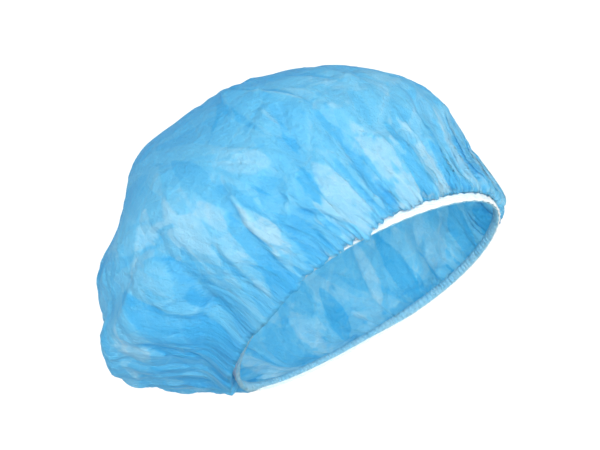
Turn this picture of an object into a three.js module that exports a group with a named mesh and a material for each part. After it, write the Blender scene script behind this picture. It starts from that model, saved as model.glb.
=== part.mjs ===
import * as THREE from "three";

// A disposable bouffant cap in the shape it has on a head: a disc of thin non-woven cloth, gathered
// all round onto an elastic loop, so that it stands up as a wide puffed crown over an open mouth.
// Millimetres, +Z up, the wearer faces -Y and has their right hand on the -X side.
// The origin is the centre of the elastic's loop, where the cap sits on the head.

// ---------------------------------------------------------------- driving dimensions

// The loop lies across the brow and under the back of the head: an oval, pitched up at the front,
// that rises a little over the ears and dips at the brow and the nape.
const LOOP = { front: 100, side: 77, pitch: 31, earRise: 2.2, skew: 1.1 };

const BAND = { width: 6, thickness: 1.2 };
const WALL = 1.4;
const GAP = 0.3;

// The cloth's hem runs up inside the band, turns out over it, and becomes the crown.
// The crown is widest on a ring around its own axis, which stands a little behind the loop's.
// reach is the ring's distance from that axis, level its height over the loop, and sag how far the cloth
// droops (+) or lifts (-) between the loop and the ring. A row each for the front, a side, the back.
const SECTIONS = {
  front: { reach: 145.5, level: 60, sag: 4 },
  side: { reach: 116, level: 72, sag: 1 },
  back: { reach: 137.5, level: 47, sag: -16 },
};
const CROWN = { axisBack: 27.5, height: 168.5, fullness: 1.8, ringClimb: 0.35 };

// Small even gathers stand out from the elastic and fade as the cloth climbs.
const GATHERS = { count: 20, depth: 2.6, peak: 0.07, fade: 0.22 };

// The larger folds. Each runs straight across the cloth between two places, given as the turn from the
// front towards the wearer's right in degrees and the climb from the loop (0) to the top (1).
// width is how far it spreads to each side, and depth how far it stands out (+) or in (-), in mm.
const FOLDS = [
  // the crease that parts the crown from the full pouch behind the neck, right across the back
  { from: [129, 0.08], to: [117, 0.24], width: 14, depth: -8 },
  { from: [117, 0.25], to: [121, 0.36], width: 13, depth: -7 },
  { from: [121, 0.36], to: [152, 0.42], width: 12, depth: -6 },
  { from: [152, 0.42], to: [185, 0.45], width: 12, depth: -6 },
  { from: [185, 0.45], to: [222, 0.38], width: 15, depth: -5 },
  // the slack cloth that hangs over the band along the right side
  { from: [72, 0.05], to: [100, 0.05], width: 10, depth: 5 },
  { from: [100, 0.05], to: [128, 0.045], width: 10, depth: 6 },
  { from: [128, 0.045], to: [146, 0.045], width: 9, depth: 3 },
  // the pouch: its fullness behind, and its ridges
  { from: [160, 0.38], to: [180, 0.39], width: 13, depth: 4 },
  { from: [144, 0.25], to: [147, 0.11], width: 13, depth: 5 },
  { from: [162, 0.27], to: [170, 0.13], width: 12, depth: 2 },
  { from: [-150, 0.24], to: [-146, 0.1], width: 14, depth: 4 },
  // folds that climb from the elastic over the right side
  { from: [98, 0.13], to: [95, 0.28], width: 9, depth: 3 },
  { from: [96, 0.14], to: [85, 0.27], width: 8, depth: -4 },
  { from: [80, 0.13], to: [85, 0.24], width: 8, depth: 4 },
  { from: [90, 0.1], to: [84, 0.18], width: 10, depth: -5 },
  { from: [65, 0.05], to: [61, 0.28], width: 10, depth: -5 },
  { from: [55, 0.08], to: [52, 0.26], width: 9, depth: 3 },
  { from: [44, 0.06], to: [45, 0.29], width: 9, depth: -4 },
  { from: [29, 0.12], to: [30, 0.33], width: 9, depth: -4 },
  { from: [8, 0.08], to: [12, 0.3], width: 10, depth: -3 },
  // the ridge that runs forward over the right shoulder of the crown, and the dents below it
  { from: [78, 0.66], to: [75, 0.52], width: 10, depth: 3 },
  { from: [75, 0.52], to: [67, 0.4], width: 11, depth: 3 },
  { from: [74, 0.41], to: [75, 0.3], width: 9, depth: -4 },
  { from: [95, 0.58], to: [88, 0.44], width: 20, depth: -4 },
  // the corner high on the back, and the hollow behind it
  { from: [122, 0.72], to: [124, 0.66], width: 18, depth: 4 },
  { from: [140, 0.6], to: [162, 0.7], width: 28, depth: -7 },
  // folds over the left side
  { from: [-64, 0.22], to: [-58, 0.38], width: 11, depth: 4 },
  { from: [-57, 0.12], to: [-45, 0.25], width: 10, depth: -5 },
  { from: [-89, 0.14], to: [-86, 0.34], width: 11, depth: -5 },
  { from: [-116, 0.14], to: [-110, 0.36], width: 12, depth: 4 },
  { from: [-128, 0.1], to: [-122, 0.27], width: 13, depth: -6 },
  { from: [-30, 0.14], to: [-26, 0.32], width: 10, depth: -4 },
  { from: [-36, 0.06], to: [-12, 0.09], width: 12, depth: 3 },
  { from: [-96, 0.6], to: [-84, 0.46], width: 20, depth: -4 },
];

// How finely the surfaces are divided: columns around, a multiple of the gathers, and rows up.
const COLUMNS = 4 * GATHERS.count;
const ROWS = 22;
const HEM_ROWS = 2;

const CLOTH_BLUE = 0x6ebde9;
const ELASTIC_WHITE = 0xf4fbfc;

// ---------------------------------------------------------------- the surface

const RIGHT_ANGLE = Math.PI / 2;

// The height of the loop over its own mean plane.
function loopHeight(turn) {
  return -LOOP.earRise * Math.cos(2 * turn) + LOOP.skew * Math.cos(3 * turn);
}

// A point on the loop's oval, a little outside (+) or inside (-) of it when out is given.
function loopPoint(turn, height, out = 0) {
  const x = -(LOOP.side + out) * Math.sin(turn);
  const y = -(LOOP.front + out) * Math.cos(turn);
  return new THREE.Vector3(x, y, loopHeight(turn) + height);
}

// One column of SECTIONS at any turn: exact at the front, sides and back, and smooth between.
function section(column, turn) {
  const front = SECTIONS.front[column];
  const side = SECTIONS.side[column];
  const back = SECTIONS.back[column];
  const c = Math.cos(turn);
  return side + ((front - back) / 2) * c + ((front + back) / 2 - side) * c * c;
}

// The hem, one gap inside the band: its lower edge, and its upper edge just over the band.
function hemPoint(turn, row) {
  const height = row === 0 ? -BAND.width / 2 : BAND.width / 2 + GAP;
  return loopPoint(turn, height, -BAND.thickness / 2 - GAP);
}

// The crown before it is gathered and folded. A quarter wave leads from over the band out to the
// widest ring, and a rounded arch leads from there to the top.
function smoothPoint(turn, climb) {
  const start = loopPoint(turn, BAND.width / 2 + GAP, BAND.thickness / 2);
  const lengthwise = Math.cos(turn) > 0 ? SECTIONS.front.reach : SECTIONS.back.reach;
  const ring = new THREE.Vector3(
    -SECTIONS.side.reach * Math.sin(turn),
    CROWN.axisBack - lengthwise * Math.cos(turn),
    section("level", turn),
  );
  if (climb <= CROWN.ringClimb) {
    const angle = (climb / CROWN.ringClimb) * RIGHT_ANGLE;
    const out = Math.sin(angle);
    const up = 1 - Math.cos(angle);
    const droop = section("sag", turn) * Math.sin(2 * angle);
    return new THREE.Vector3(
      THREE.MathUtils.lerp(start.x, ring.x, out),
      THREE.MathUtils.lerp(start.y, ring.y, out),
      THREE.MathUtils.lerp(start.z, ring.z, up) - droop,
    );
  }
  const angle = ((climb - CROWN.ringClimb) / (1 - CROWN.ringClimb)) * RIGHT_ANGLE;
  const power = 2 / CROWN.fullness;
  const inward = Math.cos(angle) ** power;
  const up = Math.sin(angle) ** power;
  return new THREE.Vector3(
    ring.x * inward,
    CROWN.axisBack + (ring.y - CROWN.axisBack) * inward,
    THREE.MathUtils.lerp(ring.z, CROWN.height, up),
  );
}

// A grid of points: the rows of the hem, then a row for each step of the climb.
function gridOf(hemAt, crownAt) {
  const rows = [];
  for (let r = 0; r < ROWS; r += 1) {
    const row = [];
    for (let c = 0; c < COLUMNS; c += 1) {
      const turn = (c / COLUMNS) * 2 * Math.PI;
      const climb = (r - HEM_ROWS) / (ROWS - HEM_ROWS);
      row.push(r < HEM_ROWS ? hemAt(turn, r) : crownAt(turn, climb, r, c));
    }
    rows.push(row);
  }
  return rows;
}

// Outward unit normals of a grid. The top row leans on the crown's highest point.
function normalsOf(grid, top) {
  return grid.map((row, r) =>
    row.map((point, c) => {
      const before = row[(c + COLUMNS - 1) % COLUMNS];
      const after = row[(c + 1) % COLUMNS];
      const above = r + 1 < ROWS ? grid[r + 1][c] : top;
      const below = r > 0 ? grid[r - 1][c] : point;
      const around = new THREE.Vector3().subVectors(after, before);
      const upward = new THREE.Vector3().subVectors(above, below);
      return new THREE.Vector3().crossVectors(upward, around).normalize();
    }),
  );
}

// How far a fold moves a point that lies near it: most on its line, and fading away on both sides.
function foldDepth(fold, point) {
  const [start, end] = [fold.from, fold.to].map(([degrees, climb]) =>
    smoothPoint(THREE.MathUtils.degToRad(degrees), climb),
  );
  const nearest = new THREE.Line3(start, end).closestPointToPoint(point, true, new THREE.Vector3());
  const share = nearest.distanceTo(point) / fold.width;
  return fold.depth * Math.exp(-share * share);
}

// The gathers: nothing at the elastic itself, fullest just above it, gone at the widest ring.
function gatherDepth(turn, climb) {
  const rise = Math.min(climb / GATHERS.peak, 1);
  const fall = Math.exp(-((climb / GATHERS.fade) ** 2));
  return GATHERS.depth * rise * fall * Math.cos(GATHERS.count * turn);
}

// ---------------------------------------------------------------- closed bodies

// A grid surface as triangles between two rows of vertex numbers, facing out.
function strip(lower, upper, flip, triangles) {
  for (let c = 0; c < COLUMNS; c += 1) {
    const next = (c + 1) % COLUMNS;
    const quad = [lower[c], upper[c], upper[next], lower[next]];
    if (flip) quad.reverse();
    triangles.push(quad[0], quad[1], quad[2], quad[0], quad[2], quad[3]);
  }
}

// The geometry of a list of points and vertex numbers.
function geometryOf(points, triangles) {
  const geometry = new THREE.BufferGeometry().setFromPoints(points);
  geometry.setIndex(triangles);
  geometry.computeVertexNormals();
  return geometry;
}

// The crown: an outer and an inner surface, one wall apart, joined along the mouth.
function crownGeometry() {
  const smooth = gridOf(hemPoint, smoothPoint);
  const top = smoothPoint(0, 1);
  const smoothNormals = normalsOf(smooth, top);
  const outer = gridOf(hemPoint, (turn, climb, r, c) => {
    const point = smooth[r][c];
    const depths = FOLDS.map((fold) => foldDepth(fold, point));
    const folds = Math.max(...depths, 0) + Math.min(...depths, 0);
    const settled = Math.min(climb / GATHERS.peak, 1) * folds;
    const depth = gatherDepth(turn, climb) + settled;
    return point.clone().addScaledVector(smoothNormals[r][c], depth);
  });
  const normals = normalsOf(outer, top);
  const inner = outer.map((row, r) =>
    row.map((point, c) => point.clone().addScaledVector(normals[r][c], -WALL)),
  );
  const innerTop = top.clone().setZ(top.z - WALL);

  const points = [...outer.flat(), ...inner.flat(), top, innerTop];
  const rowOf = (first, r) => Array.from({ length: COLUMNS }, (_, c) => first + r * COLUMNS + c);
  const innerFirst = ROWS * COLUMNS;
  const topNumber = 2 * ROWS * COLUMNS;
  const triangles = [];
  for (let r = 0; r + 1 < ROWS; r += 1) {
    strip(rowOf(0, r), rowOf(0, r + 1), false, triangles);
    strip(rowOf(innerFirst, r), rowOf(innerFirst, r + 1), true, triangles);
  }
  strip(rowOf(0, 0), rowOf(innerFirst, 0), true, triangles);
  for (let c = 0; c < COLUMNS; c += 1) {
    const next = (c + 1) % COLUMNS;
    const last = (ROWS - 1) * COLUMNS;
    triangles.push(last + c, topNumber, last + next);
    triangles.push(innerFirst + last + next, topNumber + 1, innerFirst + last + c);
  }
  return geometryOf(points, triangles);
}

// The elastic: a flat band that stands on edge along the loop, a closed ring of four faces.
function bandGeometry() {
  const half = BAND.thickness / 2;
  const corners = [
    { out: half, height: -BAND.width / 2 },
    { out: half, height: BAND.width / 2 },
    { out: -half, height: BAND.width / 2 },
    { out: -half, height: -BAND.width / 2 },
  ];
  const points = [];
  for (const { out, height } of corners) {
    for (let c = 0; c < COLUMNS; c += 1) {
      points.push(loopPoint((c / COLUMNS) * 2 * Math.PI, height, out));
    }
  }
  const rowOf = (k) => Array.from({ length: COLUMNS }, (_, c) => k * COLUMNS + c);
  const triangles = [];
  corners.forEach((_, k) => {
    strip(rowOf(k), rowOf((k + 1) % corners.length), false, triangles);
  });
  return geometryOf(points, triangles);
}

// ---------------------------------------------------------------- the pieces

function crown() {
  const cloth = new THREE.MeshStandardMaterial({
    color: CLOTH_BLUE,
    roughness: 0.85,
    metalness: 0,
    side: THREE.DoubleSide,
  });
  const mesh = new THREE.Mesh(crownGeometry(), cloth);
  mesh.name = "crown";
  return mesh;
}

function elasticBand() {
  const elastic = new THREE.MeshStandardMaterial({
    color: ELASTIC_WHITE,
    roughness: 0.7,
    metalness: 0,
  });
  const mesh = new THREE.Mesh(bandGeometry(), elastic);
  mesh.name = "elastic_band";
  return mesh;
}

// Both pieces are made with the loop lying flat, and pitched together as the cap is worn.
const worn = new THREE.Group();
worn.rotation.x = -THREE.MathUtils.degToRad(LOOP.pitch);
worn.add(crown(), elasticBand());

const cap = new THREE.Group();
cap.add(worn);

export default cap;
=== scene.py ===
# %% [markdown]
# # A disposable bouffant cap, made from one disc of cloth
#
# The real cap is a round piece of thin spunbond cloth, about 53 cm across. Its edge is gathered onto a
# loop of elastic, so on a head it stands up as a wide, puffed and creased crown over an open mouth.
# The script follows the same order: it cuts the disc, stands it up over the loop, lets a short cloth
# simulation gather it, lays the folds and tucks into it, and then gives both pieces their finishes.

# %% Load the part
import math

import bpy
import numpy as np
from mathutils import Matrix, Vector


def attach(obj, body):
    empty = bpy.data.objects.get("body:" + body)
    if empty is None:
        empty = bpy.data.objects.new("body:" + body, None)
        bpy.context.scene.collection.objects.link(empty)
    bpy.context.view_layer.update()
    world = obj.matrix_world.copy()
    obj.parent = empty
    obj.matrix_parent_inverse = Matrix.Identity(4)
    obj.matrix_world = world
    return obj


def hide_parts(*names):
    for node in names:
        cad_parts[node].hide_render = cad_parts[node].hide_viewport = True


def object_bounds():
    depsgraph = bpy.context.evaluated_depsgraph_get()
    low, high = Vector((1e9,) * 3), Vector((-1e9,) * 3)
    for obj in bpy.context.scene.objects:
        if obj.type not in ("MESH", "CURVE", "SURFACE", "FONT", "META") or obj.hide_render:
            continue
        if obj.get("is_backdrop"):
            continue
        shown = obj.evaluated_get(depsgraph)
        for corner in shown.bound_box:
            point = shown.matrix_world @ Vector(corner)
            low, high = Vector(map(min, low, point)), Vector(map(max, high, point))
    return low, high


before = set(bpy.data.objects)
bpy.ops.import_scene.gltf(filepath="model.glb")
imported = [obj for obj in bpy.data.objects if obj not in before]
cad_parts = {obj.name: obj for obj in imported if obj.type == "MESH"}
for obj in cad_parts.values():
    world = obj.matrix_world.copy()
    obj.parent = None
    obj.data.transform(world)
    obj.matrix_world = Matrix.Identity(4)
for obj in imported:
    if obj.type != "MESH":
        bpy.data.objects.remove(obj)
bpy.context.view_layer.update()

# %% [markdown]
# ## The sizes
#
# These are the CAD part's own driving dimensions, in metres, so the cloth stands where its solid does.
# The loop is an oval pitched up at the front. The crown is widest on a ring, and SECTIONS says how far
# the ring reaches, how high it is, and how far the cloth below it droops, at the front, side and back.

# %% Sizes
LOOP = {"front": 0.100, "side": 0.077, "pitch": math.radians(31), "ear_rise": 0.0022, "skew": 0.0011}
BAND = {"width": 0.006, "thickness": 0.0012, "gap": 0.0003}
SECTIONS = {
    "front": {"reach": 0.1455, "level": 0.060, "sag": 0.004},
    "side": {"reach": 0.116, "level": 0.072, "sag": 0.001},
    "back": {"reach": 0.1375, "level": 0.047, "sag": -0.016},
}
CROWN = {"axis_back": 0.0275, "height": 0.1685, "fullness": 1.8, "ring_climb": 0.35}
DISC_RADIUS = 0.2665
HEM = BAND["width"] + 0.002
FREE_RADIUS = DISC_RADIUS - HEM
CLOTH_THICKNESS = 0.0003
CELLS = 104
MM = 1e-3

# %% [markdown]
# ## The folds
#
# A worn cap is never a smooth dome: it has a few large folds that anyone would point to. Places on the
# crown are given as a turn from the brow towards the wearer's right, in degrees, and a climb from the
# elastic (0) to the top (1). A fold has two ends, a width and a depth in millimetres, out is positive.

# %% Folds
FOLDS = [
    # the crease that parts the crown from the full pouch behind the neck, right across the back
    ((129, 0.08), (117, 0.24), 14, -8),
    ((117, 0.25), (121, 0.36), 13, -7),
    ((121, 0.36), (152, 0.42), 12, -6),
    ((152, 0.42), (185, 0.45), 12, -6),
    ((185, 0.45), (222, 0.38), 15, -5),
    # the slack cloth that hangs over the band along the right side
    ((72, 0.05), (100, 0.05), 10, 5),
    ((100, 0.05), (128, 0.045), 10, 6),
    ((128, 0.045), (146, 0.045), 9, 3),
    # the pouch: its fullness behind, and its ridges
    ((160, 0.38), (180, 0.39), 13, 4),
    ((144, 0.25), (147, 0.11), 13, 5),
    ((162, 0.27), (170, 0.13), 12, 2),
    ((-150, 0.24), (-146, 0.1), 14, 4),
    # folds that climb from the elastic over the right side
    ((98, 0.13), (95, 0.28), 9, 3),
    ((96, 0.14), (85, 0.27), 8, -4),
    ((80, 0.13), (85, 0.24), 8, 4),
    ((90, 0.1), (84, 0.18), 10, -5),
    ((65, 0.05), (61, 0.28), 10, -5),
    ((55, 0.08), (52, 0.26), 9, 3),
    ((44, 0.06), (45, 0.29), 9, -4),
    ((29, 0.12), (30, 0.33), 9, -4),
    ((8, 0.08), (12, 0.3), 10, -3),
    # the ridge that runs forward over the right shoulder of the crown, and the dents below it
    ((78, 0.66), (75, 0.52), 10, 3),
    ((75, 0.52), (67, 0.4), 11, 3),
    ((74, 0.41), (75, 0.3), 9, -4),
    ((95, 0.58), (88, 0.44), 20, -4),
    # the corner high on the back, and the hollow behind it
    ((122, 0.72), (124, 0.66), 18, 4),
    ((140, 0.6), (162, 0.7), 28, -7),
    # folds over the left side
    ((-64, 0.22), (-58, 0.38), 11, 4),
    ((-57, 0.12), (-45, 0.25), 10, -5),
    ((-89, 0.14), (-86, 0.34), 11, -5),
    ((-116, 0.14), (-110, 0.36), 12, 4),
    ((-128, 0.1), (-122, 0.27), 13, -6),
    ((-30, 0.14), (-26, 0.32), 10, -4),
    ((-36, 0.06), (-12, 0.09), 12, 3),
    ((-96, 0.6), (-84, 0.46), 20, -4),
]

# %% [markdown]
# ## The panels and the creases
#
# Between the folds the cloth lies in long flat panels with crisp edges, because it was packed folded.
# Where it laps over itself two or three layers lie together, and less light would come through, so the panel
# is painted a deeper blue, a painted shade; where it is pulled smooth and single it is painted pale, a
# painted light. A panel is a kite between two places with its width at each, the lift of its sharp edge in
# millimetres,
# and the strength of its painted tint: above zero where the cloth is lapped, below zero where it is taut. A
# crease is a sharp line, with a painted highlight along its top if it stands out and painted shade if it goes
# in.

# %% Panels and creases
PANELS = [
    # the back and the pouch
    ((97, 0.31), (108, 0.06), 10, 13, -2.2, 1.0),
    ((103, 0.33), (106, 0.14), 24, 12, 1.6, -0.8),
    ((119, 0.31), (132, 0.1), 4, 19, -2.4, 1.1),
    ((125, 0.33), (129, 0.19), 20, 12, 1.4, -0.6),
    ((122, 0.4), (112, 0.34), 6, 8, 0.8, -0.7),
    ((139, 0.38), (147, 0.04), 13, 26, -2.0, 1.0),
    ((154, 0.17), (163, 0.03), 9, 16, -1.6, 0.9),
    ((151, 0.31), (163, 0.17), 16, 26, 1.6, -0.8),
    ((112, 0.16), (121, 0.03), 16, 22, 1.2, -0.5),
    ((109, 0.21), (118, 0.05), 4, 8, -1.2, 0.7),
    ((104, 0.52), (98, 0.32), 10, 18, -1.4, 0.6),
    ((112, 0.6), (110, 0.42), 14, 10, 1.2, -0.5),
    ((130, 0.62), (136, 0.42), 16, 14, 1.0, -0.4),
    # the right side, from the elastic up
    ((96, 0.27), (99, 0.09), 5, 14, 1.8, -1.1),
    ((93, 0.4), (82, 0.3), 20, 16, 1.5, -0.45),
    ((90, 0.21), (92, 0.07), 16, 14, -1.8, 1.0),
    ((86, 0.29), (87, 0.2), 20, 12, -1.2, 0.6),
    ((74, 0.41), (81, 0.16), 9, 13, -2.2, 1.1),
    ((74, 0.27), (78, 0.06), 10, 22, 1.8, -0.9),
    ((86, 0.16), (79, 0.05), 6, 8, -1.0, 0.6),
    ((67, 0.43), (68, 0.06), 12, 16, -2.2, 0.9),
    ((59, 0.33), (58, 0.05), 7, 24, 1.8, -1.0),
    ((50, 0.3), (52, 0.08), 9, 6, -1.8, 1.0),
    ((45, 0.31), (46, 0.05), 6, 18, 1.8, -1.1),
    ((35, 0.38), (38, 0.07), 9, 5, -1.6, 0.9),
    ((30, 0.27), (32, 0.05), 5, 5, -1.4, 0.8),
    ((24, 0.36), (26, 0.05), 8, 12, 1.4, -0.9),
    ((13, 0.32), (12, 0.05), 8, 8, 1.4, -0.9),
    ((2, 0.3), (-4, 0.04), 14, 16, 1.2, -1.0),
    # over the shoulder and the top
    ((80, 0.65), (66, 0.45), 6, 10, -1.8, 0.8),
    ((72, 0.52), (62, 0.42), 16, 12, 1.0, -0.5),
    ((55, 0.55), (48, 0.4), 26, 18, 1.0, -0.4),
    ((40, 0.52), (32, 0.4), 16, 12, 1.0, -0.5),
    ((60, 0.6), (52, 0.5), 8, 10, -0.8, 0.5),
    # the left side, seen from within
    ((-122, 0.28), (-131, 0.04), 14, 24, -1.6, -1.1),
    ((-108, 0.39), (-117, 0.06), 14, 16, 1.8, 0.6),
    ((-98, 0.39), (-107, 0.1), 16, 20, -1.6, -0.9),
    ((-88, 0.34), (-95, 0.13), 12, 18, 1.8, 0.9),
    ((-72, 0.42), (-78, 0.19), 8, 12, -1.6, -0.9),
    ((-84, 0.31), (-87, 0.12), 8, 6, -1.4, -0.8),
    ((-66, 0.42), (-71, 0.06), 10, 15, 1.8, 0.9),
    ((-60, 0.37), (-64, 0.22), 7, 7, -1.4, -1.0),
    ((-50, 0.37), (-58, 0.1), 22, 24, -1.2, -0.4),
    ((-38, 0.32), (-44, 0.04), 16, 18, 1.6, 0.8),
    ((-22, 0.22), (-28, 0.03), 14, 22, 1.2, 1.0),
]
CREASES = [
    # the start, the end, the half width and the height in mm
    ((76, 0.45), (74, 0.34), 4, 1.8),
    ((95, 0.28), (97, 0.19), 4, 1.8),
    ((97, 0.19), (101, 0.1), 4, 1.4),
    ((61, 0.37), (62, 0.06), 3.5, 1.6),
    ((91, 0.25), (96, 0.11), 3.5, 1.4),
    ((89, 0.28), (85, 0.15), 3.5, -1.2),
    ((109, 0.22), (114, 0.11), 3.5, -1.2),
    ((118, 0.37), (112, 0.33), 4, -1.4),
    ((118, 0.37), (122, 0.25), 4, -1.6),
    ((80, 0.66), (73, 0.53), 4, 1.6),
    ((73, 0.53), (66, 0.43), 4, 1.6),
    ((79, 0.64), (83, 0.5), 5, 1.2),
    ((85, 0.17), (79, 0.07), 3.5, -1.4),
    ((44, 0.29), (42, 0.12), 3.5, 1.4),
    ((52, 0.26), (55, 0.08), 3.5, 1.3),
    ((27, 0.31), (29, 0.1), 3.5, 1.2),
    ((20, 0.33), (22, 0.1), 3.5, -1.2),
    ((148, 0.3), (158, 0.24), 4, 1.4),
    ((152, 0.1), (168, 0.02), 4, -1.6),
    ((-120, 0.26), (-126, 0.05), 3.5, 1.2),
    ((-74, 0.42), (-80, 0.16), 3.5, -1.5),
    ((-85, 0.32), (-88, 0.12), 3.5, -1.5),
    ((-62, 0.38), (-65, 0.2), 3.5, -1.3),
    ((-100, 0.38), (-104, 0.16), 3.5, -1.2),
    ((-49, 0.2), (-55, 0.06), 3.5, -1.2),
]

# %% [markdown]
# ## The smooth crown
#
# Before it is folded the crown is one formula of turn and climb. A quarter wave leads from just over the
# elastic out to the widest ring, and a rounded arch leads from there to the top. It is made with the loop
# lying flat, and `worn` then pitches everything as the cap sits on a head.

# %% The smooth crown
def section(column, turn):
    """One column of SECTIONS at any turn: exact at the front, sides and back, and smooth between."""
    front, side, back = (SECTIONS[k][column] for k in ("front", "side", "back"))
    c = np.cos(turn)
    return side + (front - back) / 2 * c + ((front + back) / 2 - side) * c * c


def loop_points(turn, height, out=0.0):
    """Points on the oval loop: an ellipse whose height also waves a little, up over the ears."""
    x = -(LOOP["side"] + out) * np.sin(turn)
    y = -(LOOP["front"] + out) * np.cos(turn)
    z = -LOOP["ear_rise"] * np.cos(2 * turn) + LOOP["skew"] * np.cos(3 * turn) + height
    return np.stack(np.broadcast_arrays(x, y, z), -1)


def crown_points(turn, climb):
    """Points of the crown: a quarter wave out to the ring below ring_climb, a superellipse arch above it."""
    turn, climb = np.broadcast_arrays(turn, climb)
    start = loop_points(turn, BAND["width"] / 2 + BAND["gap"], BAND["thickness"] / 2)
    reach = np.where(np.cos(turn) > 0, SECTIONS["front"]["reach"], SECTIONS["back"]["reach"])
    ring = np.stack([-SECTIONS["side"]["reach"] * np.sin(turn),
                     CROWN["axis_back"] - reach * np.cos(turn), section("level", turn)], -1)
    low = np.clip(climb / CROWN["ring_climb"], 0, 1) * np.pi / 2
    share = np.stack([np.sin(low), np.sin(low), 1 - np.cos(low)], -1)
    low_part = start + (ring - start) * share
    low_part[..., 2] -= section("sag", turn) * np.sin(2 * low)
    high = np.clip((climb - CROWN["ring_climb"]) / (1 - CROWN["ring_climb"]), 0, 1) * np.pi / 2
    inward = np.maximum(np.cos(high), 0) ** (2 / CROWN["fullness"])
    up = np.sin(high) ** (2 / CROWN["fullness"])
    high_part = np.stack([ring[..., 0] * inward,
                          CROWN["axis_back"] + (ring[..., 1] - CROWN["axis_back"]) * inward,
                          ring[..., 2] + (CROWN["height"] - ring[..., 2]) * up], -1)
    return np.where((climb <= CROWN["ring_climb"])[..., None], low_part, high_part)


def worn(points):
    """Turn points about X by the loop's pitch, from the flat loop to the way the cap sits."""
    c, s = math.cos(LOOP["pitch"]), math.sin(LOOP["pitch"])
    x, y, z = points[..., 0], points[..., 1], points[..., 2]
    return np.stack([x, y * c + z * s, -y * s + z * c], -1)


def laid(points):
    """The way back: turn worn points so that the loop lies flat again."""
    c, s = math.cos(LOOP["pitch"]), math.sin(LOOP["pitch"])
    x, y, z = points[..., 0], points[..., 1], points[..., 2]
    return np.stack([x, y * c - z * s, y * s + z * c], -1)


# %% [markdown]
# ## The cut disc
#
# A disc with all its grid lines running into one middle point puckers there, so the disc is a square
# grid pressed into a circle: each square ring of the grid becomes a round one. Each vertex keeps its flat
# place, which serves later as its texture coordinate and as the shape that the cloth wants to go back to.

# %% The cut disc
def disc_grid(cells, radius):
    """A square grid mapped to a disc: the larger of the two sides gives the radius, their ratio the angle."""
    side = np.linspace(-1, 1, cells + 1)
    a, b = np.meshgrid(side, side, indexing="ij")
    wide = np.abs(a) > np.abs(b)
    r = np.where(wide, a, b)
    safe_a, safe_b = np.where(a == 0, 1, a), np.where(b == 0, 1, b)
    angle = np.where(wide, np.pi / 4 * b / safe_a, np.pi / 2 - np.pi / 4 * a / safe_b)
    angle = np.where(r == 0, 0, angle)
    return np.stack([radius * r * np.cos(angle), radius * r * np.sin(angle)], -1)


def polar(flat):
    """The turn of each flat point, and its rise: 0 at the disc's edge and 1 in its middle."""
    radius = np.hypot(flat[..., 0], flat[..., 1])
    return np.arctan2(flat[..., 1], flat[..., 0]), np.clip(1 - radius / FREE_RADIUS, 0, 1)


def quads(rows, columns):
    """The four vertex numbers of each cell of a grid."""
    i, j = np.meshgrid(np.arange(rows - 1), np.arange(columns - 1), indexing="ij")
    first = (i * columns + j).ravel()
    return np.stack([first, first + 1, first + columns + 1, first + columns], -1)


def grid_normals(points):
    """Unit normals from the cross product of the grid's two directions, turned to face outwards."""
    n = np.cross(np.gradient(points, axis=0), np.gradient(points, axis=1))
    n /= np.linalg.norm(n, axis=-1, keepdims=True) + 1e-12
    middle = points.mean(axis=(0, 1))
    return n if ((points - middle) * n).sum() > 0 else -n


flat = disc_grid(CELLS, FREE_RADIUS)
turn, rise = polar(flat)
print("the free part of the disc is", round(2000 * FREE_RADIUS), "mm across, in", CELLS ** 2, "cells")

# %% [markdown]
# ## Standing the disc up
#
# Every vertex keeps its share of the way from the edge to the middle, measured along the crown's own
# profile, so that the weave isn't squeezed at one height and stretched at another. The profile's length
# differs from turn to turn, so a table of arc lengths is made for each turn and read backwards.

# %% Standing the disc up
TURNS, CLIMBS = 361, 401
table_turn = np.linspace(-np.pi, np.pi, TURNS)
table_climb = np.linspace(0, 1, CLIMBS)
table = crown_points(table_turn[:, None], table_climb[None, :])
steps = np.linalg.norm(np.diff(table, axis=1), axis=2)
arc = np.concatenate([np.zeros((TURNS, 1)), np.cumsum(steps, axis=1)], axis=1)
print("profile lengths from", round(1000 * arc[:, -1].min()), "to", round(1000 * arc[:, -1].max()), "mm")
even = np.linspace(0, 1, CLIMBS)
climb_table = np.stack([np.interp(even, one / one[-1], table_climb) for one in arc])


def climb_of(turn, rise):
    """The climb at which a share `rise` of the profile's length has been walked, by bilinear lookup."""
    t = (turn + np.pi) / (2 * np.pi) * (TURNS - 1)
    s = rise * (CLIMBS - 1)
    t0, s0 = np.clip(t.astype(int), 0, TURNS - 2), np.clip(s.astype(int), 0, CLIMBS - 2)
    ft, fs = t - t0, s - s0
    return ((1 - ft) * (1 - fs) * climb_table[t0, s0] + ft * (1 - fs) * climb_table[t0 + 1, s0]
            + (1 - ft) * fs * climb_table[t0, s0 + 1] + ft * fs * climb_table[t0 + 1, s0 + 1])


def place(spot):
    """The point of the smooth crown at a (degrees, climb) pair from one of the tables."""
    return crown_points(np.radians(spot[0]), np.array(spot[1]))


def from_line(points, start, end):
    """Each point's share along the line between two places, its offset from the line, and the line."""
    a, b = place(start), place(end)
    ab = b - a
    along = ((points - a) @ ab) / (ab @ ab)
    offset = points - a - np.clip(along, 0, 1)[..., None] * ab
    return along, offset, ab


def fold_depth(points):
    """How far the folds move the cloth: a bell across each fold, the strongest out and in taken together."""
    out, inward = np.zeros(points.shape[:-1]), np.zeros(points.shape[:-1])
    for start, end, width, depth in FOLDS:
        _, offset, _ = from_line(points, start, end)
        far = np.linalg.norm(offset, axis=-1) / (width * MM)
        move = depth * MM * np.exp(-far ** 2)
        out, inward = np.maximum(out, move), np.minimum(inward, move)
    return out + inward


smooth = crown_points(turn, climb_of(turn, rise))
settled = np.clip(rise / 0.06, 0, 1)
folded = smooth + grid_normals(smooth) * (fold_depth(smooth) * settled)[..., None]
print("the folds move the cloth by up to", round(1000 * np.abs(folded - smooth).max(), 1), "mm")

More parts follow.
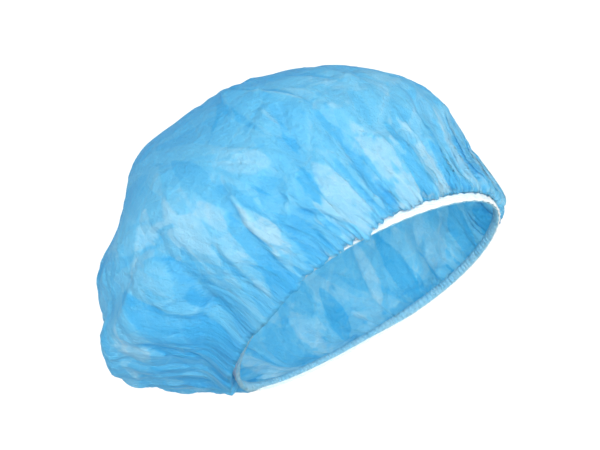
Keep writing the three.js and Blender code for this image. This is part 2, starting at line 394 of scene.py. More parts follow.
# %% [markdown]
# ## Gathering by simulation
#
# The edge of the disc is one and a half metres round, and the elastic about half a metre: the spare
# cloth has to go somewhere. A few uneven waves seed the gathers, and a short cloth simulation, whose
# rest shape is the flat disc, lets them push each other into natural ones. The edge is pinned to the
# loop, the rest is held softly near the form, and there is a breath of pressure instead of gravity.

# %% Gathering by simulation
FRAMES = 24
BIG = 8.0  # Blender's cloth behaves better on a large mesh, so it is simulated at eight times its size
HOLD = 0.55
WAVES = [
    # how many go round, how far up they reach, and their size in mm
    (23, 0.75, 1.5),
    (37, 0.60, 1.2),
    (61, 0.40, 1.0),
    (110, 0.20, 0.8),
]
rng = np.random.default_rng(7)
seed = np.zeros_like(rise)
for count, reach, size in WAVES:
    drift = sum(rng.normal(0, 1.2) * np.cos(k * turn + rng.uniform(0, 6.28)) / k for k in range(1, 7))
    lean = rng.normal(0, 2.0) * rise
    seed += size * MM * np.exp(-(rise / reach) ** 2) * np.cos(count * turn + drift + lean)
ready = folded + grid_normals(smooth) * (seed * np.clip(rise / 0.02, 0, 1))[..., None]


def new_object(name, points, faces, corners=None):
    """A smooth-shaded mesh object from arrays of points and quads, with its flat place as the UV map."""
    mesh = bpy.data.meshes.new(name)
    mesh.from_pydata(points.reshape(-1, 3).tolist(), [], faces.tolist())
    mesh.polygons.foreach_set("use_smooth", np.ones(len(mesh.polygons), bool))
    if corners is not None:
        numbers = np.empty(len(mesh.loops), int)
        mesh.loops.foreach_get("vertex_index", numbers)
        mesh.uv_layers.new(name="cut").data.foreach_set("uv", corners.reshape(-1, 2)[numbers].ravel())
    made = bpy.data.objects.new(name, mesh)
    bpy.context.scene.collection.objects.link(made)
    return made


def gather(points, flat):
    """Run the cloth simulation on a grid and return where its points come to rest."""
    grid = new_object("gathering", points * BIG, quads(*points.shape[:2]))
    grid.shape_key_add(name="Basis")
    key = grid.shape_key_add(name="cut_flat")
    flat_3d = np.concatenate([flat, np.zeros(flat.shape[:2] + (1,))], -1) * BIG
    key.data.foreach_set("co", flat_3d.ravel().astype(np.float32))
    key.value = 0
    edge = np.ones(points.shape[:2], bool)
    edge[1:-1, 1:-1] = False
    held = grid.vertex_groups.new(name="held")
    held.add(np.flatnonzero(~edge.ravel()).tolist(), HOLD, "REPLACE")
    held.add(np.flatnonzero(edge.ravel()).tolist(), 1.0, "REPLACE")
    cloth = grid.modifiers.new("gather", "CLOTH")
    s = cloth.settings
    s.quality, s.mass, s.air_damping = 6, 0.15, 2
    s.tension_stiffness = s.compression_stiffness = 40
    s.shear_stiffness, s.bending_stiffness = 15, 2.0
    s.tension_damping = s.compression_damping = s.shear_damping = 10
    s.bending_damping = 1
    s.vertex_group_mass, s.pin_stiffness = "held", 1.0
    s.rest_shape_key = key
    s.use_pressure, s.uniform_pressure_force = True, 0.2
    s.effector_weights.gravity = 0
    cloth.collision_settings.use_collision = False
    cloth.point_cache.frame_start, cloth.point_cache.frame_end = 1, FRAMES
    for frame_number in range(1, FRAMES + 1):
        bpy.context.scene.frame_set(frame_number)
    got = np.empty(flat_3d.size, np.float32)
    grid.evaluated_get(bpy.context.evaluated_depsgraph_get()).data.vertices.foreach_get("co", got)
    mesh = grid.data
    bpy.data.objects.remove(grid)
    bpy.data.meshes.remove(mesh)
    bpy.context.scene.frame_set(1)
    return got.reshape(flat_3d.shape).astype(float) / BIG


draped = gather(worn(ready), flat)
moved = np.linalg.norm(draped - worn(ready), axis=-1)
print("the simulation moved the cloth by", round(1000 * moved.mean(), 2), "mm on average")

# %% [markdown]
# ## Keeping the gathers and the form
#
# The simulation may also drift the whole crown in or out, and the form shouldn't change. So only its
# ripples are kept: the movement along the form's normal, less the same movement averaged over a wide
# patch. They stay whole by the elastic and calm down towards the top, and in the slack cloth behind. Then
# the grid is made twice as fine.

# %% Ripples on the form
RIPPLE_PATCH = 220  # how many times to average: a patch wide enough to hold no ripple
CALM = {"top": 0.35, "reach": 0.22}
CALM_BEHIND = {"turn": math.radians(135), "spread": 0.8, "share": 0.85}


def blur(field, times):
    """Average each value with its four neighbours, many times over."""
    for _ in range(times):
        p = np.pad(field, 1, mode="edge")
        field = (p[:-2, 1:-1] + p[2:, 1:-1] + p[1:-1, :-2] + p[1:-1, 2:] + 4 * field) / 8
    return field


def finer(points):
    """Halve the cells of a grid with four-point interpolation, first along one direction, then the other."""
    def along(a):
        inner = (-a[:-3] + 9 * a[1:-2] + 9 * a[2:-1] - a[3:]) / 16
        first = (3 * a[0:1] + 6 * a[1:2] - a[2:3]) / 8
        last = (3 * a[-1:] + 6 * a[-2:-1] - a[-3:-2]) / 8
        out = np.empty((2 * a.shape[0] - 1,) + a.shape[1:])
        out[0::2], out[1::2] = a, np.concatenate([first, inner, last])
        return out
    return along(along(points).swapaxes(0, 1)).swapaxes(0, 1)


out_of_form = grid_normals(folded)
shift = ((laid(draped) - folded) * out_of_form).sum(-1)
ripples = shift - blur(shift, RIPPLE_PATCH)
calming = CALM["top"] + (1 - CALM["top"]) * np.exp(-(rise / CALM["reach"]) ** 2)
behind = np.exp(-((turn - CALM_BEHIND["turn"]) / CALM_BEHIND["spread"]) ** 2)
calming = calming * (1 - CALM_BEHIND["share"] * behind)
print("ripples of", round(1000 * np.abs(ripples).mean(), 2), "mm on average")
fine = finer(folded + out_of_form * (ripples * calming)[..., None])
fine_flat = finer(flat)
turn, rise = polar(fine_flat)
normals = grid_normals(fine)
form = crown_points(turn, climb_of(turn, rise))

# %% [markdown]
# ## Tucks, panels and creases
#
# Three kinds of detail come from folding rather than from gathering. Small knife tucks climb from the
# elastic all the way round. The panels of the table follow, and some more of the same kind where the
# table is silent, so that the back and the left side are as lively as the right. Last are the creases,
# straight and sharp. Each gives a height. The panels and creases also give a distance to their outline
# and a strength, from which the cloth's finish draws edges crisper than the mesh could hold.

# %% Tucks, panels and creases
def step(x):
    """A smooth step from 0 to 1 as x goes from 0 to 1."""
    x = np.clip(x, 0, 1)
    return x * x * (3 - 2 * x)


def tucks(count, rng):
    """Knife folds that climb from the elastic: a sharp edge on one side, a slow slope on the other."""
    lift, layers = np.zeros_like(rise), np.zeros_like(rise)
    axis_radius = np.hypot(fine[..., 0], fine[..., 1] - CROWN["axis_back"])
    for k in range(count):
        start = 2 * np.pi * (k + rng.uniform(-0.35, 0.35)) / count
        lean, bend = rng.normal(0, 0.35), rng.normal(0, 0.8)
        length = rng.uniform(0.10, 0.28) if rng.random() < 0.75 else rng.uniform(0.3, 0.5)
        width, height = rng.uniform(0.004, 0.011), rng.uniform(0.0008, 0.0022)
        across = np.mod(turn - start - lean * rise - bend * rise ** 2 + np.pi, 2 * np.pi) - np.pi
        across = rng.choice([-1, 1]) * across * axis_radius
        left = np.clip(1 - rise / length, 0, 1)
        wide = width * left ** 0.7 + 1e-5
        inside = step(across / 0.0016) * (1 - step((across - wide * 0.8) / (wide * 0.2 + 0.0008)))
        inside = inside * step(left / 0.15)
        lift += height * inside * np.clip(1 - across / wide, 0, 1) * left ** 0.5
        layers += inside
    return lift, layers


POINTED = 0.35  # the share of a panel's length over which it comes to a point
TO_LOOP = 0.09  # a panel that ends lower than this runs on under the elastic instead


def panel(start, end, width_start, width_end, lift):
    """A kite between two places: how high it lifts, rising across its width to one sharp edge, and how
    far each point lies inside its outline, in metres."""
    along, offset, ab = from_line(form, start, end)
    length = np.linalg.norm(ab)
    across = (offset * np.cross(normals, ab / length)).sum(-1)
    half = (width_start + (width_end - width_start) * np.clip(along, 0, 1)) * MM / 2
    from_tip = along / POINTED if end[1] < TO_LOOP else np.minimum(along, 1 - along) / POINTED
    kite = half * np.clip(from_tip, 0, 1) ** 0.7 - np.abs(across)
    beyond = np.maximum(-along, along - (1.4 if end[1] < TO_LOOP else 1)) * length
    depth = np.where(beyond < 0, kite, -np.hypot(across, beyond))
    depth = np.where(np.linalg.norm(offset, axis=-1) < half + 0.030, depth, -1.0)
    inside = step((half - across) / 0.0026 + 0.5) * step((half + across) / 0.0045 + 0.5)
    inside *= step(np.minimum(along, 1 - along) * length / 0.012 + 0.9) * (depth > -0.020)
    return lift * MM * inside * np.clip(0.5 + across / half / 2, 0, 1), depth


def crease(start, end, width, height):
    """A straight ridge or valley with a tent-shaped section, and how far each point is from its line."""
    _, offset, _ = from_line(form, start, end)
    away = np.linalg.norm(offset, axis=-1)
    return height * MM * np.clip(1 - away / (width * MM), 0, 1), away


class Nearest:
    """Keeps, for every point, the greatest value seen so far and the strength that came with it."""

    def __init__(self, start):
        self.value = np.full(rise.shape, start)
        self.strength = np.zeros(rise.shape)

    def take(self, value, strength):
        more = value > self.value
        self.value = np.where(more, value, self.value)
        self.strength = np.where(more, strength, self.strength)


def random_line(rng, length, upright):
    """Two places a given length apart, chosen evenly over the crown, and upright as often as asked."""
    spot = np.array([rng.uniform(-180, 180), 1 - math.sqrt(rng.uniform(0.03, 0.95))])
    ahead = rng.normal(size=2) * (1 - upright) + np.array([rng.normal(0, 0.3), 1.0]) * upright
    ahead = ahead / np.linalg.norm(ahead) * length / 2
    reach = SECTIONS["side"]["reach"] * max(1 - spot[1], 0.25)
    change = np.array([np.degrees(ahead[0] / reach), ahead[1] / arc[:, -1].mean()])
    ends = [spot - change, spot + change]
    return [(float(t), float(np.clip(c, 0.02, 0.98))) for t, c in ends]


TUCKS, RANDOM_PANELS = 56, 120
EVENING_PATCH = 260  # how many times to average the height, so that details leave the form where it is
RANDOM_CREASES = [
    # how many, their lengths in metres, half widths and heights in mm, and the strength of the painted
    # highlight or shade along their lines
    (150, (0.03, 0.10), (4, 10), (0.4, 1.4), 0.7),
    (240, (0.012, 0.045), (3, 6), (0.3, 0.8), 0.5),
]
rng = np.random.default_rng(11)
tuck_lift, tuck_laps = tucks(TUCKS, rng)
height = np.zeros_like(rise)
lapped, taut, line = Nearest(-0.05), Nearest(-0.05), Nearest(-0.05)


def add_panel(start, end, width_start, width_end, lift, tint, share=1.0):
    """Note one panel's outline among the lapped or the taut ones, and return what it adds to the height."""
    lifted, depth = panel(start, end, width_start, width_end, lift)
    (lapped if tint > 0 else taut).take(depth, abs(tint) * share)
    return lifted * share


for row in PANELS:
    height = height + add_panel(*row)
known = step(np.maximum(lapped.value, taut.value) / 0.004 + 0.5)
unknown = 1 - 0.75 * blur(known, 40)
for _ in range(RANDOM_PANELS):
    start, end = random_line(rng, rng.uniform(0.035, 0.095), 0.75)
    widths = np.sort(rng.uniform(3, 22, 2))
    tint = rng.choice([-1, 1]) * rng.uniform(0.3, 0.8)
    height = height + add_panel(end, start, *widths[::-1], rng.uniform(-1.4, 1.4), tint, unknown)
# Each crease, here and below, also notes a painted line for the finish: a painted highlight along a ridge and
# painted shade along a valley.
for row in CREASES:
    ridge, away = crease(*row)
    height += ridge
    line.take(-away, math.copysign(1.0, row[-1]))
for count, lengths, widths, heights, strength in RANDOM_CREASES:
    for _ in range(count):
        start, end = random_line(rng, rng.uniform(*lengths), 0.5)
        way = rng.choice([-1, 1])
        ridge, away = crease(start, end, rng.uniform(*widths), way * rng.uniform(*heights))
        height += ridge
        line.take(-away, way * strength * rng.uniform(0.2, 1.0))
height -= blur(height, EVENING_PATCH)
print("panels and creases stand out by", round(1000 * np.abs(height).mean(), 2), "mm on average")

# %% [markdown]
# ## The slack edge
#
# Along the right side and behind it the cloth isn't pulled tight: it rolls down over the elastic and
# hides it, as a blouse hangs over a belt. Everywhere else it is drawn in a little, the most at the front,
# and the last millimetres are crimped into fine teeth by the stitches of the elastic. On the left the
# cloth near the loop is kept from standing proud. All of this is added last.

# %% The slack edge
OVERHANG = [
    # the turn in degrees, and how far the cloth hangs down there in mm
    (40, 0.0),
    (50, 1.2),
    (60, 2.6),
    (70, 4.2),
    (80, 5.5),
    (90, 7.0),
    (98, 8.5),
    (106, 10.5),
    (122, 15.0),
    (172, 15.0),
    (184, 6.0),
    (198, 0.0),
]
DRAWN_IN, DRAWN_IN_FRONT = 0.0014, 0.0085
CLOSE = 0.0008  # how far the cloth may stand proud of the smooth crown low on the left
TEETH, TEETH_SIZE = 190, 0.0012
degrees = np.mod(np.degrees(turn), 360)
hang = np.interp(degrees, [d for d, _ in OVERHANG], [mm for _, mm in OVERHANG]) * MM
roll = np.exp(-((rise - 0.030) / 0.018) ** 2) * np.clip(rise / 0.008, 0, 1)
settle = step(rise / 0.03)
left_side = step((degrees - 200) / 20) * step((356 - degrees) / 12)
near_loop = step(rise / (0.08 + 0.14 * left_side))
front = step((np.cos(turn) - 0.7) / 0.3) * (1 - step((rise - 0.15) / 0.25))
slack = step((degrees - 85) / 20) * step((200 - degrees) / 20)
drawn_in = (DRAWN_IN + DRAWN_IN_FRONT * front) * step(rise / 0.12)
lift = (tuck_lift * (1 - np.maximum(0.6 * left_side, 0.85 * slack)) + height * near_loop - drawn_in) * settle
fine = fine + normals * lift[..., None]
proud = ((fine - form) * normals).sum(-1)
low_left = left_side * (1 - step((rise - 0.08) / 0.10))
fine = fine - normals * (np.maximum(proud - CLOSE, 0) * low_left)[..., None]
fine[..., 2] -= hang * roll


def teeth(turn):
    """A wave of the elastic's stitches, with its spacing drifting a little on the way round."""
    return np.sin(TEETH * turn + 2 * np.sin(7 * turn) + 1.5 * np.sin(17 * turn))


crimp = TEETH_SIZE * np.exp(-(rise / 0.05) ** 2) * teeth(turn) * (1 - 0.75 * slack)
fine = fine + normals * (crimp * settle)[..., None]

# %% [markdown]
# ## The hem
#
# The disc's edge goes over the elastic and down inside it, where the real cap is glued or stitched. So
# rows of points are added to the ring of vertices at the grid's border, first over the band's upper edge
# and then down its inner face, crimped like the teeth above. On the slack side the last two turn under it.

# %% The hem
m = fine.shape[0]
run = np.arange(m - 1)
back_run = np.arange(m - 1, 0, -1)
ring = np.concatenate([run * m, (m - 1) * m + run, back_run * m + m - 1, back_run])
ring_turn = turn.ravel()[ring]
ring_flat = fine_flat.reshape(-1, 2)[ring]
half_width = BAND["width"] / 2
inside_band = -BAND["thickness"] / 2 - BAND["gap"]
HEM_ROWS = [
    # how far out of the loop's line, how high, and how deep the crimps are
    (BAND["thickness"] / 2 - 0.0004, half_width + 0.0004, 0.0),
    (inside_band, half_width + 0.0003, 0.3),
    (inside_band - 0.0002, half_width * 0.5, 0.9),
    (inside_band - 0.0002, 0.0, 1.0),
    (inside_band - 0.0002, -half_width * 0.5, 0.9),
    (inside_band, -half_width, 0.5),
]
TURNED_UNDER = {
    # on the slack side and behind, the last rows turn under the band: the row, how far out, how high
    4: (inside_band, -half_width - 0.0006),
    5: (BAND["thickness"] / 2 + 0.0006, -half_width - 0.0006),
}
LEFT_SHORT = 0.0022  # on the left the hem stops short, and a thin line of the elastic shows below it
ring_degrees = np.mod(np.degrees(ring_turn), 360)
short = LEFT_SHORT * step((ring_degrees - 190) / 20) * step((285 - ring_degrees) / 25)
pleat = 0.0009 * (0.5 + 0.5 * teeth(ring_turn))
under = step((ring_degrees - 95) / 20) * step((204 - ring_degrees) / 12)
hem = []
for row, (out, high, crimped) in enumerate(HEM_ROWS):
    out_under, high_under = TURNED_UNDER.get(row, (out, high))
    rows_high = np.maximum(high, short - half_width)
    hem.append(loop_points(ring_turn, rows_high + (high_under - rows_high) * under,
                           out - crimped * pleat + (out_under - out) * under))
hem = np.stack(hem)
shares = (1 + np.arange(len(HEM_ROWS))) / len(HEM_ROWS)
hem_flat = ring_flat[None] * (1 + shares[:, None, None] * HEM / FREE_RADIUS)

count = len(ring)
numbers = m * m + np.arange(len(HEM_ROWS) * count).reshape(len(HEM_ROWS), count)
rings = np.concatenate([ring[None], numbers])
ahead = np.roll(rings, -1, axis=1)
strips = np.stack([rings[1:], ahead[1:], ahead[:-1], rings[:-1]], -1).reshape(-1, 4)
points = np.concatenate([fine.reshape(-1, 3), hem.reshape(-1, 3)])
corners = np.concatenate([fine_flat.reshape(-1, 2), hem_flat.reshape(-1, 2)])
faces = np.concatenate([quads(m, m), strips])


def facing_out(points, faces):
    """Turn all faces over if, taken together, they enclose a negative volume."""
    a, b, c, d = (points[faces[:, k]] for k in range(4))
    volume = (a * np.cross(b, c)).sum() + (a * np.cross(c, d)).sum()
    return faces if volume > 0 else faces[:, ::-1]


crown = new_object("crown_cloth", worn(points), facing_out(worn(points), faces), corners)
HEM_PAINTED_LIGHT = 0.9  # painted light: the hem is made nearly as pale as the cloth gets, which lifts the shade that falls on it between the cloth and the elastic
marks = {
    "tuck_laps": (tuck_laps, 0.0),
    "lapped_mm": (lapped.value / MM, -20.0),
    "lapped_strength": (lapped.strength, 0.0),
    "taut_mm": (taut.value / MM, 20.0),
    "taut_strength": (taut.strength, HEM_PAINTED_LIGHT),
    "line_mm": (line.value / MM, -20.0),
    "crease_highlight_and_shade": (line.strength, 0.0),
}
for name, (values, on_hem) in marks.items():
    values = np.concatenate([values.ravel(), np.full(hem.shape[0] * count, on_hem)])
    crown.data.attributes.new(name, "FLOAT", "POINT").data.foreach_set("value", values.astype(np.float32))
thickness = crown.modifiers.new("cloth_thickness", "SOLIDIFY")
thickness.thickness, thickness.offset = CLOTH_THICKNESS, 0
areas = np.empty(len(crown.data.polygons))
crown.data.polygons.foreach_get("area", areas)
cut_area = math.pi * DISC_RADIUS ** 2
area_share = round(areas.sum() / cut_area, 2)
print("crown_cloth has", 4 * len(areas), "triangles, and", area_share, "of the cut's area")
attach(crown, "root")
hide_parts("crown")

# %% [markdown]
# ## The elastic
#
# A flat braided elastic, 6 mm wide, stands on edge all round the loop. Its section is a rounded
# rectangle swept along the oval. The stitches pull it into small scallops, it rolls slightly, and fine
# ribs run across it.

# %% The elastic
BAND_COLUMNS, BAND_CORNERS = 1400, 16
RIBS, SCALLOPS = 560, 95


def band_surface():
    """A superellipse section swept along the loop, with waves added to its thickness and its upper edge."""
    along = np.linspace(0, 2 * np.pi, BAND_COLUMNS, endpoint=False)[:, None]
    around = np.linspace(0, 2 * np.pi, BAND_CORNERS, endpoint=False)[None, :]
    out = BAND["thickness"] / 2 * np.sign(np.cos(around)) * np.abs(np.cos(around)) ** 0.35
    high = BAND["width"] / 2 * np.sign(np.sin(around)) * np.abs(np.sin(around)) ** 0.6
    ribs = 0.00012 * np.sin(RIBS * along)
    rolled = 0.0003 * np.sin(63 * along + 1.3 * np.sin(5 * along))
    scallop = 0.00035 * np.sin(SCALLOPS * along + np.sin(7 * along)) + 0.0002 * np.sin(41 * along)
    return loop_points(along, high + scallop * (np.sin(around) > 0.3), out + ribs + rolled)


surface = band_surface()
i, j = np.meshgrid(np.arange(BAND_COLUMNS), np.arange(BAND_CORNERS), indexing="ij")
next_i, next_j = (i + 1) % BAND_COLUMNS, (j + 1) % BAND_CORNERS
band_faces = np.stack([i * BAND_CORNERS + j, next_i * BAND_CORNERS + j,
                       next_i * BAND_CORNERS + next_j, i * BAND_CORNERS + next_j], -1).reshape(-1, 4)
band_points = worn(surface).reshape(-1, 3)
elastic = new_object("elastic_loop", band_points, facing_out(band_points, band_faces))
lap = np.linalg.norm(np.diff(surface[:, 0], axis=0, append=surface[:1, 0]), axis=-1).sum()
print("elastic_loop is", round(1000 * lap), "mm round, with", 2 * len(band_faces), "triangles")
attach(elastic, "root")
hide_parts("elastic_band")

# %% [markdown]
# ## The finishes
#
# Spunbond cloth is a felt of fine plastic threads. It lets much of the light through and scatters it, so
# the finish mixes a dull surface with a translucent one. Both get painted shade where the panels and tucks
# would lap, towards the top and along crease valleys, painted light where the panels are taut, on the hem,
# along crease ridges and facet edges, a painted tone per facet and along the wrinkles, and their own uneven
# tone from clouds of uneven fibre and from the fibres themselves. The bump goes from facets, as of crushed
# paper, through fine wrinkles that run up from the elastic, down to the fibres. The panels come from values
# on the vertices and the rest from the cloth's flat place, so all of it follows the folds. The elastic is
# white, ribbed and slightly uneven, read from its own space.

# %% The finishes
FACETS = [
    # the cells in each metre of cloth, their bump in metres, their tint (painted light and shade that differs
    # from facet to facet), and the pale of their edges (a painted highlight)
    (19.0, 0.0050, 0.17, 0.18),
    (50.0, 0.0020, 0.12, 0.12),
]
# Painted light and shade: deeper where panels and tucks lap, paler where panels are taut, and a highlight or
# shade along the creases.
PAINTED_TINTS = {"lapped": 0.80, "taut": 0.72, "tuck": 0.16, "line": 0.55}


class Finish:
    """A material under construction: add() makes a node and links or sets its inputs."""

    def __init__(self, name):
        self.material = bpy.data.materials.new(name)
        self.material.use_nodes = True
        self.tree = self.material.node_tree
        self.tree.nodes.clear()

    def add(self, kind, inputs=None, **settings):
        """One node: inputs that are sockets get linked, and others become the sockets' values."""
        node = self.tree.nodes.new(kind)
        for key, value in settings.items():
            setattr(node, key, value)
        for key, value in (inputs or {}).items():
            if isinstance(value, bpy.types.NodeSocket):
                self.tree.links.new(value, node.inputs[key])
            else:
                node.inputs[key].default_value = value
        return node

    def maths(self, operation, a, b=0.0, clamp=False):
        """One step of arithmetic."""
        return self.add("ShaderNodeMath", {0: a, 1: b}, operation=operation, use_clamp=clamp).outputs[0]

    def noise(self, vector, scale, detail=3.0, rough=0.6):
        """Noise between about -1 and 1."""
        made = self.add("ShaderNodeTexNoise", {"Vector": vector, "Scale": scale, "Detail": detail,
                                               "Roughness": rough})
        return self.add("ShaderNodeMapRange", {"Value": made.outputs["Fac"], "From Min": 0.3,
                                               "From Max": 0.7, "To Min": -1.0, "To Max": 1.0}).outputs[0]

    def mix(self, share, a, b):
        """A colour between two."""
        return self.add("ShaderNodeMix", {"Factor": share, 6: a, 7: b}, data_type="RGBA").outputs[2]

    def bump(self, height, distance, strength, normal=None):
        """A bump on top of another."""
        inputs = {"Height": height, "Distance": distance, "Strength": strength}
        if normal is not None:
            inputs["Normal"] = normal
        return self.add("ShaderNodeBump", inputs).outputs[0]


# The pale and deep ends serve both the cloth's own uneven tone and its painted light and shade.
SHADES = {
    # each is what the surface reflects, and what it lets through
    "pale": ((0.60, 0.89, 1.00, 1), (0.74, 0.94, 1.00, 1)),
    "middle": ((0.26, 0.74, 0.975, 1), (0.48, 0.865, 0.995, 1)),
    "deep": ((0.11, 0.61, 0.93, 1), (0.27, 0.77, 0.975, 1)),
}

# Painted shade: the cloth is made a deeper blue towards the middle of the disc, which is the top of the
# crown.
TOP_PAINTED_SHADE = {"from": 0.175, "to": 0.10, "deeper": 0.75}


def cloth_finish():
    """Blue spunbond: dull and translucent, with painted shade where it would lie double and painted light
    where it is taut.
    """
    f = Finish("spunbond_cloth")
    flat_place = f.add("ShaderNodeUVMap", uv_map="cut").outputs["UV"]

    def mark(name):
        """A value stored on the cloth's vertices."""
        return f.add("ShaderNodeAttribute", attribute_name=name).outputs["Fac"]

    def outline(name, softness):
        """1 inside a panel and 0 outside, crisp at its wavering outline, times the panel's strength."""
        wavering = f.maths("ADD", mark(name + "_mm"), f.maths("MULTIPLY", f.noise(flat_place, 75.0), 0.9))
        inside = f.add("ShaderNodeMapRange", {"Value": wavering, "From Min": -softness,
                                              "From Max": softness}, interpolation_type="SMOOTHSTEP")
        return f.maths("MULTIPLY", inside.outputs[0], mark(name + "_strength"))

    def spread(value, low, high):
        """A 0 to 1 value moved to another range."""
        return f.add("ShaderNodeMapRange", {"Value": value, "To Min": low, "To Max": high}).outputs[0]

    warp = f.add("ShaderNodeTexNoise", {"Vector": flat_place, "Scale": 30.0, "Detail": 2.0})
    warped = f.add("ShaderNodeVectorMath", {0: warp.outputs["Color"], 1: (0.007, 0.007, 0.0)},
                   operation="MULTIPLY").outputs[0]
    warped = f.add("ShaderNodeVectorMath", {0: flat_place, 1: warped}, operation="ADD").outputs[0]
    clouds = f.noise(warped, 46.0, 4.0, 0.65)
    mottle = f.noise(flat_place, 260.0, 3.0, 0.6)
    fibres = f.noise(flat_place, 900.0)
    # the wrinkles are noise drawn out along the radius: a direction that turns with the point, and its length
    radius = f.add("ShaderNodeVectorMath", {0: flat_place}, operation="LENGTH").outputs["Value"]
    heading = f.add("ShaderNodeVectorMath", {0: flat_place}, operation="NORMALIZE").outputs[0]
    heading = f.add("ShaderNodeVectorMath", {0: heading, "Scale": 14.0}, operation="SCALE").outputs[0]
    ahead = f.add("ShaderNodeCombineXYZ", {"Z": f.maths("MULTIPLY", radius, 22.0)}).outputs[0]
    drawn = f.add("ShaderNodeVectorMath", {0: heading, 1: ahead}, operation="ADD").outputs[0]
    wrinkles = f.noise(drawn, 1.0, 3.0, 0.5)
    near_edge = f.add("ShaderNodeMapRange", {"Value": radius, "From Min": 0.13, "From Max": 0.25,
                                             "To Min": 0.05, "To Max": 1.0}).outputs[0]
    wrinkles = f.maths("MULTIPLY", wrinkles, near_edge)

    # Painted shade where panels and tucks lap, painted light where panels are taut.
    shade = f.maths("MULTIPLY", outline("lapped", 0.9), PAINTED_TINTS["lapped"])
    shade = f.maths("SUBTRACT", shade, f.maths("MULTIPLY", outline("taut", 1.1), PAINTED_TINTS["taut"]))
    shade = f.maths("ADD", shade, f.maths("MULTIPLY", mark("tuck_laps"), PAINTED_TINTS["tuck"]))
    # painted shade: deeper blue towards the top of the crown
    middle = f.add("ShaderNodeMapRange", {"Value": radius, "From Min": TOP_PAINTED_SHADE["from"],
                                          "From Max": TOP_PAINTED_SHADE["to"], "To Min": 0.0,
                                          "To Max": TOP_PAINTED_SHADE["deeper"]},
                   interpolation_type="SMOOTHSTEP").outputs[0]
    shade = f.maths("ADD", shade, middle)
    # A painted highlight along the ridges of creases and painted shade along their valleys.
    line = f.add("ShaderNodeMapRange", {"Value": mark("line_mm"), "From Min": -2.2, "From Max": -0.9},
                 interpolation_type="SMOOTHSTEP").outputs[0]
    line = f.maths("MULTIPLY", line, mark("crease_highlight_and_shade"))
    shade = f.maths("SUBTRACT", shade, f.maths("MULTIPLY", line, PAINTED_TINTS["line"]))
    normal = None
    # Each facet gets painted light or shade of its own, as if lit at its own angle, and a painted highlight
    # along its edges.
    for scale, distance, tint, edge in FACETS:
        cell = f.add("ShaderNodeTexVoronoi", {"Vector": warped, "Scale": scale}).outputs["Color"]
        facets = f.add("ShaderNodeTexVoronoi", {"Vector": warped, "Scale": scale},
                       feature="DISTANCE_TO_EDGE").outputs["Distance"]
        painted_edge_highlight = f.add("ShaderNodeMapRange", {"Value": facets, "From Min": 0.0, "From Max": 0.035,
                                            "To Min": edge, "To Max": 0.0}).outputs[0]
        shade = f.maths("ADD", shade, spread(cell, -tint, tint))
        shade = f.maths("SUBTRACT", shade, painted_edge_highlight)
        normal = f.bump(facets, distance, 0.9, normal)
    # clouds, mottle and fibres are the cloth's own uneven tone; the share of the wrinkles is painted shade
    # and light along them.
    for part, share in ((clouds, 0.10), (mottle, 0.09), (fibres, 0.05), (wrinkles, 0.07)):
        shade = f.maths("ADD", shade, f.maths("MULTIPLY", part, share))
    deeper = f.maths("ADD", shade, 0.0, clamp=True)
    paler = f.maths("MULTIPLY", shade, -1.0, clamp=True)
    colours = [f.mix(paler, f.mix(deeper, SHADES["middle"][k], SHADES["deep"][k]), SHADES["pale"][k])
               for k in (0, 1)]
    normal = f.bump(wrinkles, 0.0006, 0.5, normal)
    normal = f.bump(mottle, 0.0007, 0.5, normal)
    normal = f.bump(fibres, 0.00015, 0.5, normal)
    surface = f.add("ShaderNodeBsdfPrincipled", {
        "Base Color": colours[0], "Roughness": 0.55, "Specular IOR Level": 0.4, "Sheen Weight": 0.1,
        "Normal": normal}).outputs[0]
    through = f.add("ShaderNodeBsdfTranslucent", {"Color": colours[1], "Normal": normal}).outputs[0]
    both = f.add("ShaderNodeMixShader", {"Fac": 0.60, 1: surface, 2: through}).outputs[0]
    f.add("ShaderNodeOutputMaterial", {"Surface": both})
    return f.material


def elastic_finish():
    """White elastic: fine ribs across it and a slight unevenness, read from the object's own space."""
    f = Finish("white_elastic")
    spot = f.add("ShaderNodeTexCoord").outputs["Object"]
    ribs = f.add("ShaderNodeTexWave", {"Vector": spot, "Scale": 260.0, "Distortion": 3.0, "Detail": 1.0,
                                       "Detail Scale": 2.0}, bands_direction="DIAGONAL").outputs["Fac"]
    uneven = f.noise(spot, 700.0)
    share = f.maths("ADD", f.maths("MULTIPLY", ribs, 0.35), f.maths("MULTIPLY", uneven, 0.2), clamp=True)
    colour = f.mix(share, (0.90, 0.955, 0.955, 1), (0.72, 0.90, 0.93, 1))
    normal = f.bump(ribs, 0.0003, 0.6)
    normal = f.bump(uneven, 0.0002, 0.5, normal)
    surface = f.add("ShaderNodeBsdfPrincipled", {"Base Color": colour, "Roughness": 0.7,
                                                 "Sheen Weight": 0.2, "Normal": normal}).outputs[0]
    f.add("ShaderNodeOutputMaterial", {"Surface": surface})
    return f.material


crown.data.materials.append(cloth_finish())
elastic.data.materials.append(elastic_finish())
print("finishes", [s.material.name for o in (crown, elastic) for s in o.material_slots])

# %% [markdown]
# ## The stage
#
# The cap floats over a plain pale floor under a white sky, as on a product page. The sky is dimmer
# overhead and on the wearer's right, so that the crown isn't washed out, and one soft light stands low
# there for the pouch and the inside. The camera looks up from a little below, from the wearer's right,
# so that both the crown and the inside of the far wall show.

# %% The stage
CAMERA = {"turn": math.radians(-79.5), "rise": math.radians(-20), "away": 1.1, "lens": 102.3}
AIM = Vector((-0.0225, 0.0386, 0.0414))
FLOOR = {"level": -0.5, "half": 6.0}
# "towards" is the way to the dimmest sky, and "from" and "to" are shares of that way
SKY = {"low": 1.12, "high": 0.52, "from": 0.0, "to": 0.75, "towards": (-0.55, 0.0, 0.835)}
KEY = {"energy": 23, "size": 0.8, "place": Vector((-1.25, -0.45, -0.38))}


def pointing(place, at):
    """The rotation of a camera or a light at one place that looks at another."""
    return (at - place).to_track_quat("-Z", "Y").to_euler()


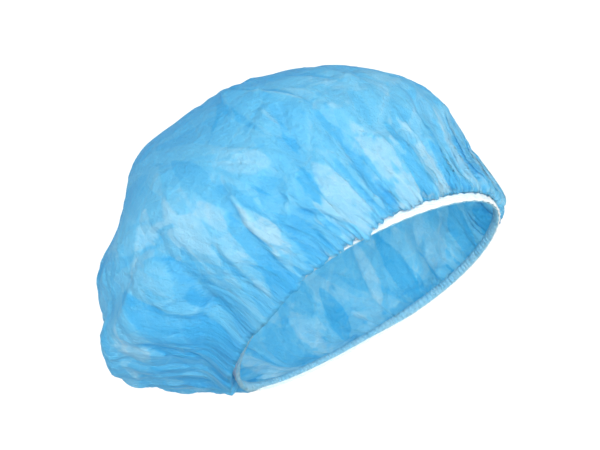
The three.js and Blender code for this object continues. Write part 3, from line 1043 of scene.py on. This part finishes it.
camera = bpy.data.objects.new("camera", bpy.data.cameras.new("camera"))
bpy.context.scene.collection.objects.link(camera)
camera.location = CAMERA["away"] * Vector((math.sin(CAMERA["turn"]) * math.cos(CAMERA["rise"]),
                                           -math.cos(CAMERA["turn"]) * math.cos(CAMERA["rise"]),
                                           math.sin(CAMERA["rise"])))
camera.rotation_euler = pointing(camera.location, AIM)
camera.data.sensor_width, camera.data.lens = 36, CAMERA["lens"]
bpy.context.scene.camera = camera

side = FLOOR["half"]
square = np.array([(-side, -side), (side, -side), (side, side), (-side, side)])
floor = new_object("floor", np.column_stack([square, np.full(4, FLOOR["level"])]), np.array([[0, 1, 2, 3]]))
pale_floor = Finish("pale_floor")
grain = pale_floor.noise(pale_floor.add("ShaderNodeTexCoord").outputs["Object"], 3.0)
grain_share = pale_floor.maths("MULTIPLY", grain, 0.5, clamp=True)
tone = pale_floor.mix(grain_share, (0.9, 0.9, 0.9, 1), (0.88, 0.88, 0.88, 1))
lit = pale_floor.add("ShaderNodeBsdfPrincipled", {"Base Color": tone, "Roughness": 0.9}).outputs[0]
pale_floor.add("ShaderNodeOutputMaterial", {"Surface": lit})
floor.data.materials.append(pale_floor.material)
floor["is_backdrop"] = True

world = bpy.data.worlds.new("studio")
bpy.context.scene.world = world
world.use_nodes = True
background = world.node_tree.nodes["Background"]
background.inputs["Color"].default_value = (1, 1, 1, 1)
heading = world.node_tree.nodes.new("ShaderNodeTexCoord")
dimmed = world.node_tree.nodes.new("ShaderNodeVectorMath")
dimmed.operation = "DOT_PRODUCT"
dimmed.inputs[1].default_value = SKY["towards"]
fall = world.node_tree.nodes.new("ShaderNodeMapRange")
fall.interpolation_type = "SMOOTHSTEP"
for name, key_name in (("From Min", "from"), ("From Max", "to"), ("To Min", "low"), ("To Max", "high")):
    fall.inputs[name].default_value = SKY[key_name]
world.node_tree.links.new(heading.outputs["Generated"], dimmed.inputs[0])
world.node_tree.links.new(dimmed.outputs["Value"], fall.inputs["Value"])
world.node_tree.links.new(fall.outputs[0], background.inputs["Strength"])
key = bpy.data.objects.new("key", bpy.data.lights.new("key", "AREA"))
key.data.energy, key.data.size = KEY["energy"], KEY["size"]
key.location, key.rotation_euler = KEY["place"], pointing(KEY["place"], Vector((0, 0, 0.05)))
bpy.context.scene.collection.objects.link(key)
bpy.context.scene.view_settings.view_transform = "Standard"

# %% [markdown]
# ## The cap's size
#
# The cap's own box is measured, and its size is printed in millimetres.

# %% The cap's size
visual_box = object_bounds()
visual_size = [round(1000 * (high - low), 1) for low, high in zip(*visual_box)]
print("the visual model's box in mm", visual_size)
